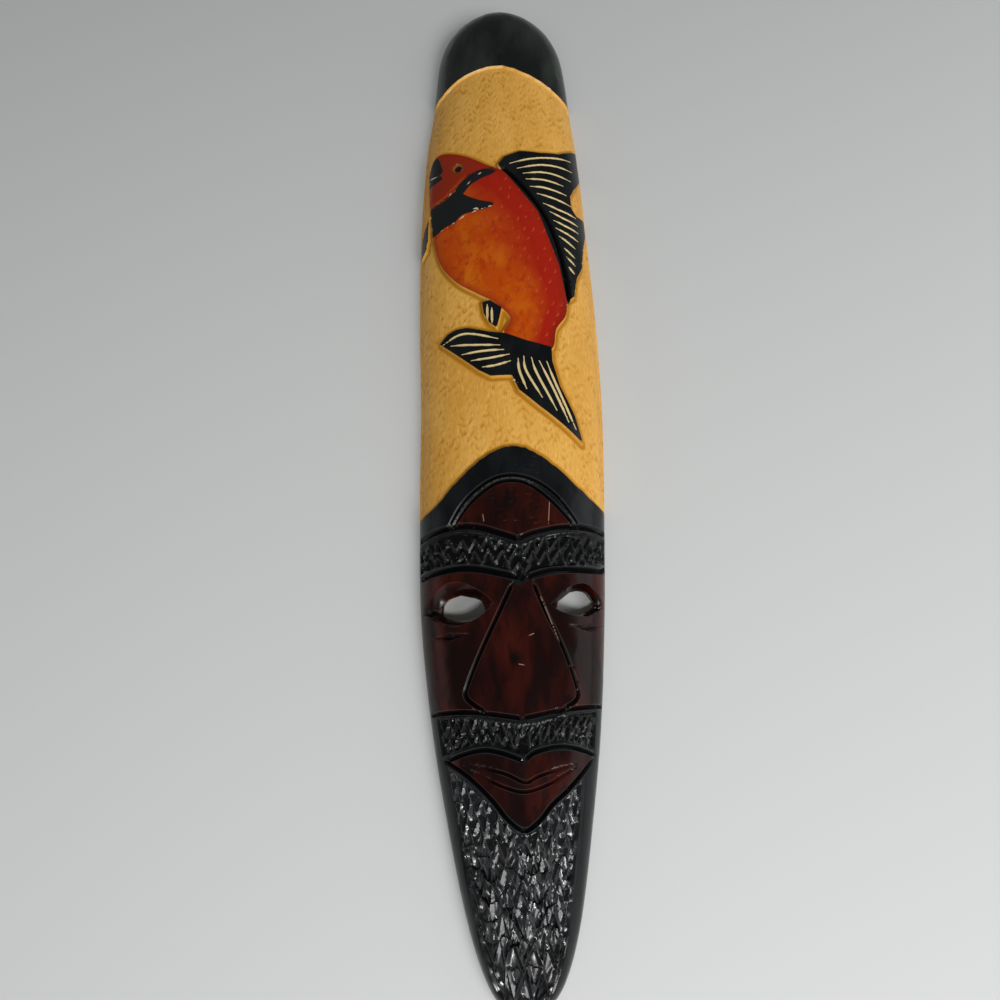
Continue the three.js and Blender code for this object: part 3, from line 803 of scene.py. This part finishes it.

# The mask as one carved piece. The painter's and the knife's forms, and the places where shade and
# highlights are painted, are kept on its points as fields, and its faces are shared out among the three
# coats that the maker gave it.
CHATTER_SHADE = 2.6
SOCKET_SHADE = 1.5
SHARP_EDGE = 33
BEARD_TOP = 320
PAINTED, BARE, BEARD = 0, 1, 2
mesh = bpy.data.meshes.new("mask_skin")
used = np.unique(np.concatenate([front_faces.ravel(), back_faces.ravel(), front_index[[0, -1]].ravel(),
                                 front_index[:, [0, -1]].ravel(), hollow_index[:, [0, -1]].ravel()]))
new_number = np.zeros(len(points), int)
new_number[used] = np.arange(len(used))
faces = [new_number[list(face)].tolist() for face in painted_faces + bare_faces]
mesh.from_pydata((points[used] * MM).tolist(), [], faces)
mesh.update()
mask = bpy.data.objects.new("carved_mask", mesh)
bpy.context.scene.collection.objects.link(mask)
# Painted shade: how dark the beds of the cuts and the hair, the chatter and the eye sockets are painted.
cut_shade = np.max([face_cut, hair_cut, CHATTER_SHADE * chatter_cut,
                    SOCKET_SHADE * smooth_step(in_socket, 0, 4)], axis=0)
painted_fields = {
    "cap": cap, "hood": hood, "body": body, "fin": fin, "dull": ground, "gutter": gutter,
    "gouge": gouged, "stained": stained, "marked": marked, "back": below_back, "head": head,
    "eye": from_eye, "scale": scale, "ray": ray, "scratch": scratch, "wear_and_eye_glint": wear_and_eye_glint,
    "shade_in_cuts": cut_shade, "lip_wear_and_glint": lip_wear_and_glint}
for name, values in painted_fields.items():
    behind = FAR if name in ("hood", "stained") else -FAR
    whole = np.concatenate([values, np.full(len(hollow), behind)])[used]
    mesh.attributes.new(name, "FLOAT", "POINT").data.foreach_set("value", whole.astype(np.float32))
mesh.shade_smooth()
mesh.set_sharp_from_angle(angle=math.radians(SHARP_EDGE))
coats = np.full(len(mesh.polygons), PAINTED, np.int32)
under_mouth = np.minimum(hairy, -BEARD_TOP - places[:, 1])[front_faces].min(axis=1) > 0
coats[:len(front_faces)][under_mouth] = BEARD
coats[len(painted_faces):] = BARE
mesh.polygons.foreach_set("material_index", coats)

# The paint: household enamel brushed on carved wood, under a clear varnish. Ochre goes on the ground,
# black on hood, cap and fins, a brown stain on the face, and the fish turns from red to orange.
# To the eye it is deep in colour, cloudy from the brush, and glossy except on the scooped ground.
# Shade in the cuts, scoops, gutter and eye sockets and on the fish's head is painted into the colour,
# and so are highlights along lips and ridges, on the scales and at the fish's eye.
WET, DRY = 0.11, 0.32
GLOSS_PATCH = (14, 2, 0, 1)
GROUND_DULLS = 0.25
PAINT_SHEEN = 0.22
GRAIN_TURN = (0.5, 0.3, 0.8)
# The colour sockets of a mix go by number, because its other sockets have the same names.
UNDER, OVER, MIXED = 6, 7, 2


def srgb(code):
    """A colour from its sRGB hex value, in linear light."""
    parts = [int(code[place:place + 2], 16) / 255 for place in (1, 3, 5)]
    return [part / 12.92 if part <= 0.04045 else ((part + 0.055) / 1.055) ** 2.4 for part in parts] + [1]


def add_node(tree, kind, inputs=None, **settings):
    """Adds a node with its settings, and links or sets its inputs."""
    node = tree.nodes.new(kind)
    for name, value in settings.items():
        setattr(node, name, value)
    for name, value in (inputs or {}).items():
        if isinstance(value, bpy.types.NodeSocket):
            tree.links.new(value, node.inputs[name])
        else:
            node.inputs[name].default_value = value
    return node


def new_finish(name):
    """A new material, with its node tree and its surface shader."""
    finish = bpy.data.materials.new(name)
    finish.use_nodes = True
    return finish, finish.node_tree, finish.node_tree.nodes["Principled BSDF"]


def brushed(tree, under, over, area, start, end):
    """Lays one colour over another where a field of the mask goes from start to end."""
    place = add_node(tree, "ShaderNodeAttribute", attribute_name=area)
    share = add_node(tree, "ShaderNodeMapRange",
                     {"Value": place.outputs["Fac"], "From Min": start, "From Max": end})
    coat = add_node(tree, "ShaderNodeMix",
                    {"Factor": share.outputs["Result"], UNDER: under, OVER: over}, data_type="RGBA")
    return coat.outputs[MIXED]


def cloudy(tree, size, stretch, start, end, detail=3.0, distortion=0.3):
    """Where cloudy patches of a size in mm lie, drawn out along the grain."""
    where = add_node(tree, "ShaderNodeTexCoord")
    turned = add_node(tree, "ShaderNodeMapping",
                      {"Vector": where.outputs["Object"], "Scale": (1, 1 / stretch, 1),
                       "Rotation": GRAIN_TURN})
    noise = add_node(tree, "ShaderNodeTexNoise",
                     {"Vector": turned.outputs["Vector"], "Scale": 1000 / size, "Detail": detail,
                      "Distortion": distortion})
    share = add_node(tree, "ShaderNodeMapRange",
                     {"Value": noise.outputs["Fac"], "From Min": start, "From Max": end})
    return share.outputs["Result"]


def mottled(tree, under, over, *patches):
    """Lays one colour over another in cloudy patches."""
    coat = add_node(tree, "ShaderNodeMix",
                    {"Factor": cloudy(tree, *patches), UNDER: under, OVER: over}, data_type="RGBA")
    return coat.outputs[MIXED]


paint, tree, surface = new_finish("painted_wood")
# Ochre, thin over the wood: brush clouds, painted shade in the scoops and in the gutter, open pores and a
# few dark specks.
# Pores are a tenth of this size on real wood, and are drawn coarser so that they show.
ochre = mottled(tree, srgb("#cd953c"), srgb("#daa650"), 38, 2.5, 0.35, 0.65)
# Painted shade, darkest where the scoops go deepest.
ochre = brushed(tree, ochre, srgb("#bb8229"), "gouge", 0.3, 0.9)
ochre = mottled(tree, ochre, srgb("#c08a33"), 1.2, 5, 0.5, 0.75, 2.0, 0)
ochre = mottled(tree, ochre, srgb("#e3b35f"), 1.4, 6, 0.55, 0.8, 2.0, 0.5)
ochre = mottled(tree, ochre, srgb("#7a4a18"), 1.7, 4, 0.8, 0.83, 2.0, 0)
# Painted shade in the gutter round hood, body and fins.
ochre = brushed(tree, ochre, srgb("#a97312"), "gutter", 0, 1)
# The fish, shaded wet in wet from its back to its belly, then painted shade on its head, painted highlights
# on its scales, and its eye and marks.
belly = mottled(tree, srgb("#b34503"), srgb("#c1600b"), 24, 1.3, 0.42, 0.68)
belly = brushed(tree, srgb("#9a1d0b"), belly, "back", 0.3, 0.62)
belly = brushed(tree, belly, srgb("#93300d"), "back", 0.86, 1)
belly = mottled(tree, belly, srgb("#8f1a08"), 6, 1.6, 0.5, 0.9)
belly = brushed(tree, srgb("#7c1a0d"), belly, "back", 0, 0.16)
# Painted shade: the head, on the darker left side of the mask, is painted a deeper red.
belly = brushed(tree, belly, srgb("#88260f"), "head", 0, 5)
# Painted highlights: the scale nicks are painted a lighter red.
belly = brushed(tree, belly, srgb("#bb4e2c"), "scale", 0.1, 0.9)
belly = brushed(tree, belly, srgb("#7a4a1e"), "eye", EYE_RADIUS + 0.2, EYE_RADIUS - 0.5)
belly = brushed(tree, belly, srgb("#17110d"), "eye", 4, 3.5)
belly = brushed(tree, belly, srgb("#191b1c"), "marked", -0.3, 0.3)
# Brown stain and black, with painted shade in the beds of the cuts, and pale lips to them that are worn
# paint and painted highlight.
stain = mottled(tree, srgb("#140403"), srgb("#3a0f07"), 26, 3, 0.44, 0.74)
stain = mottled(tree, stain, srgb("#0e0504"), 11, 2, 0.5, 0.7)
black = mottled(tree, srgb("#090b0c"), srgb("#121517"), 20, 2, 0.4, 0.6)
hood_paint = brushed(tree, black, stain, "stained", -0.3, 0.3)
# Painted shade in the beds of the cuts, the hair, the chatter and the eye sockets.
hood_paint = brushed(tree, hood_paint, srgb("#050505"), "shade_in_cuts", 0.7, 1.8)
# Worn paint and painted highlight along the lips of the cuts, the hair ridges and the socket edges.
hood_paint = brushed(tree, hood_paint, srgb("#55514e"), "lip_wear_and_glint", 0.2, 0.9)
cap_paint = mottled(tree, srgb("#131615"), srgb("#272c28"), 34, 2, 0.4, 0.62)
# All of it together, in the order in which it is painted, with wear and the painted highlights at the
# fish's eye last.
colour = brushed(tree, ochre, belly, "body", -0.3, 0.3)
colour = brushed(tree, colour, black, "fin", -0.3, 0.3)
# Painted shade in the beds of the cuts in ground, fish and fins.
colour = brushed(tree, colour, srgb("#030303"), "shade_in_cuts", 0.5, 1.4)
colour = brushed(tree, colour, srgb("#d3bd8a"), "ray", 0, 0.35)
colour = brushed(tree, colour, cap_paint, "cap", -0.3, 0.3)
colour = brushed(tree, colour, hood_paint, "hood", -0.3, 0.3)
colour = brushed(tree, colour, srgb("#8a7058"), "scratch", 0, 0.4)
# Wear chips, and the two painted highlights at the fish's eye.
colour = brushed(tree, colour, srgb("#d8c2a6"), "wear_and_eye_glint", 0, 0.4)
tree.links.new(colour, surface.inputs["Base Color"])
gloss = add_node(tree, "ShaderNodeMapRange",
                 {"Value": cloudy(tree, *GLOSS_PATCH), "To Min": WET, "To Max": DRY})
scooped = add_node(tree, "ShaderNodeAttribute", attribute_name="dull")
dulled = add_node(tree, "ShaderNodeMapRange",
                  {"Value": scooped.outputs["Fac"], "To Min": 0, "To Max": GROUND_DULLS})
rough = add_node(tree, "ShaderNodeMath", {0: gloss.outputs["Result"], 1: dulled.outputs["Result"]},
                 operation="ADD")
tree.links.new(rough.outputs["Value"], surface.inputs["Roughness"])
surface.inputs["Specular IOR Level"].default_value = PAINT_SHEEN
mesh.materials.append(paint)

# The bare wood of the hollow and of the back of the rim, never painted or sanded. To the eye it is
# pale, dry and dull, with a brown grain that runs along the mask.
bare_wood, tree, surface = new_finish("bare_wood")
wood = mottled(tree, srgb("#a98555"), srgb("#8a6538"), 6, 14, 0.4, 0.62)
wood = mottled(tree, wood, srgb("#5e4022"), 2, 12, 0.62, 0.7)
tree.links.new(wood, surface.inputs["Base Color"])
surface.inputs["Roughness"].default_value = 0.7
mesh.materials.append(bare_wood)

# The beard, which has the thickest coat of the black enamel. It is flooded on over the chips and
# not rubbed down, so to the eye every chip gleams as if wet, and its lips carry a grey line of worn paint
# and painted highlight.
thick_black, tree, surface = new_finish("thick_black_paint")
black = mottled(tree, srgb("#08090a"), srgb("#121517"), 20, 2, 0.4, 0.6)
black = brushed(tree, black, srgb("#62666a"), "lip_wear_and_glint", 0.2, 0.9)
tree.links.new(black, surface.inputs["Base Color"])
gloss = add_node(tree, "ShaderNodeMapRange",
                 {"Value": cloudy(tree, *GLOSS_PATCH), "To Min": WET, "To Max": DRY})
tree.links.new(gloss.outputs["Result"], surface.inputs["Roughness"])
mesh.materials.append(thick_black)
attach(mask, "root")
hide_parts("mask")

# The stage: a pale painted floor that the mask lies on, a hair lower than its rim, and a camera
# at the photograph's angle, close to the chin and looking up the mask.
FLOOR_SIZE = 8
FLOOR_GAP = 0.3
CAMERA_LENS = 36
CAMERA_PLACE = Vector((-17.1, -454.8, 819.5))
CAMERA_YAW = math.radians(1.11)
CAMERA_PITCH = math.radians(66)
bpy.ops.mesh.primitive_plane_add(size=FLOOR_SIZE)
floor = bpy.context.object
floor.name = "floor"
floor.location.z = -FLOOR_GAP * MM
floor_paint, _, surface = new_finish("pale_floor")
surface.inputs["Base Color"].default_value = srgb("#c5c7c6")
surface.inputs["Roughness"].default_value = 0.6
floor.data.materials.append(floor_paint)
camera_data = bpy.data.cameras.new("camera")
camera_data.lens = CAMERA_LENS
camera_data.sensor_width = 36
camera = bpy.data.objects.new("camera", camera_data)
bpy.context.scene.collection.objects.link(camera)
camera.location = (CAMERA_PLACE + Vector((MIDDLE, 0, 0))) * MM
camera.rotation_euler = (math.pi / 2 - CAMERA_PITCH, 0, -CAMERA_YAW)
bpy.context.scene.camera = camera

# The light: a small ceiling lamp behind the camera that glints in the cut wood of the beard, two
# wide soft lights on either side of the camera, a pale window on the right and light thrown back
# from the far wall, in a dim room. Each lamp has a place, width and height in metres, and watts.
LAMPS = {
    "ceiling lamp": ((0.1, -1.15, 1.65), 0.24, 0.24, 13),
    "right of the camera": ((1.5, -1.75, 2.0), 1.9, 1.3, 62),
    "left of the camera": ((-1.5, -1.75, 2.0), 1.9, 1.3, 8),
    "window": ((1.7, 0.1, 0.6), 2.4, 1.0, 8),
    "far wall": ((-1.7, -0.2, 0.4), 2.4, 0.6, 2),
}
LIT_PLACE = Vector((0, -0.1, 0))
ROOM_LIGHT = 0.14
bpy.context.scene.view_settings.view_transform = "Standard"
for name, (place, width, height, watts) in LAMPS.items():
    lamp_data = bpy.data.lights.new(name, "AREA")
    lamp_data.energy = watts
    lamp_data.shape = "RECTANGLE"
    lamp_data.size = width
    lamp_data.size_y = height
    lamp = bpy.data.objects.new(name, lamp_data)
    lamp.location = place
    lamp.rotation_euler = (LIT_PLACE - lamp.location).to_track_quat("-Z", "Y").to_euler()
    bpy.context.scene.collection.objects.link(lamp)
world = bpy.data.worlds.new("room")
bpy.context.scene.world = world
world.use_nodes = True
world.node_tree.nodes["Background"].inputs["Color"].default_value = (1, 1, 1, 1)
world.node_tree.nodes["Background"].inputs["Strength"].default_value = ROOM_LIGHT
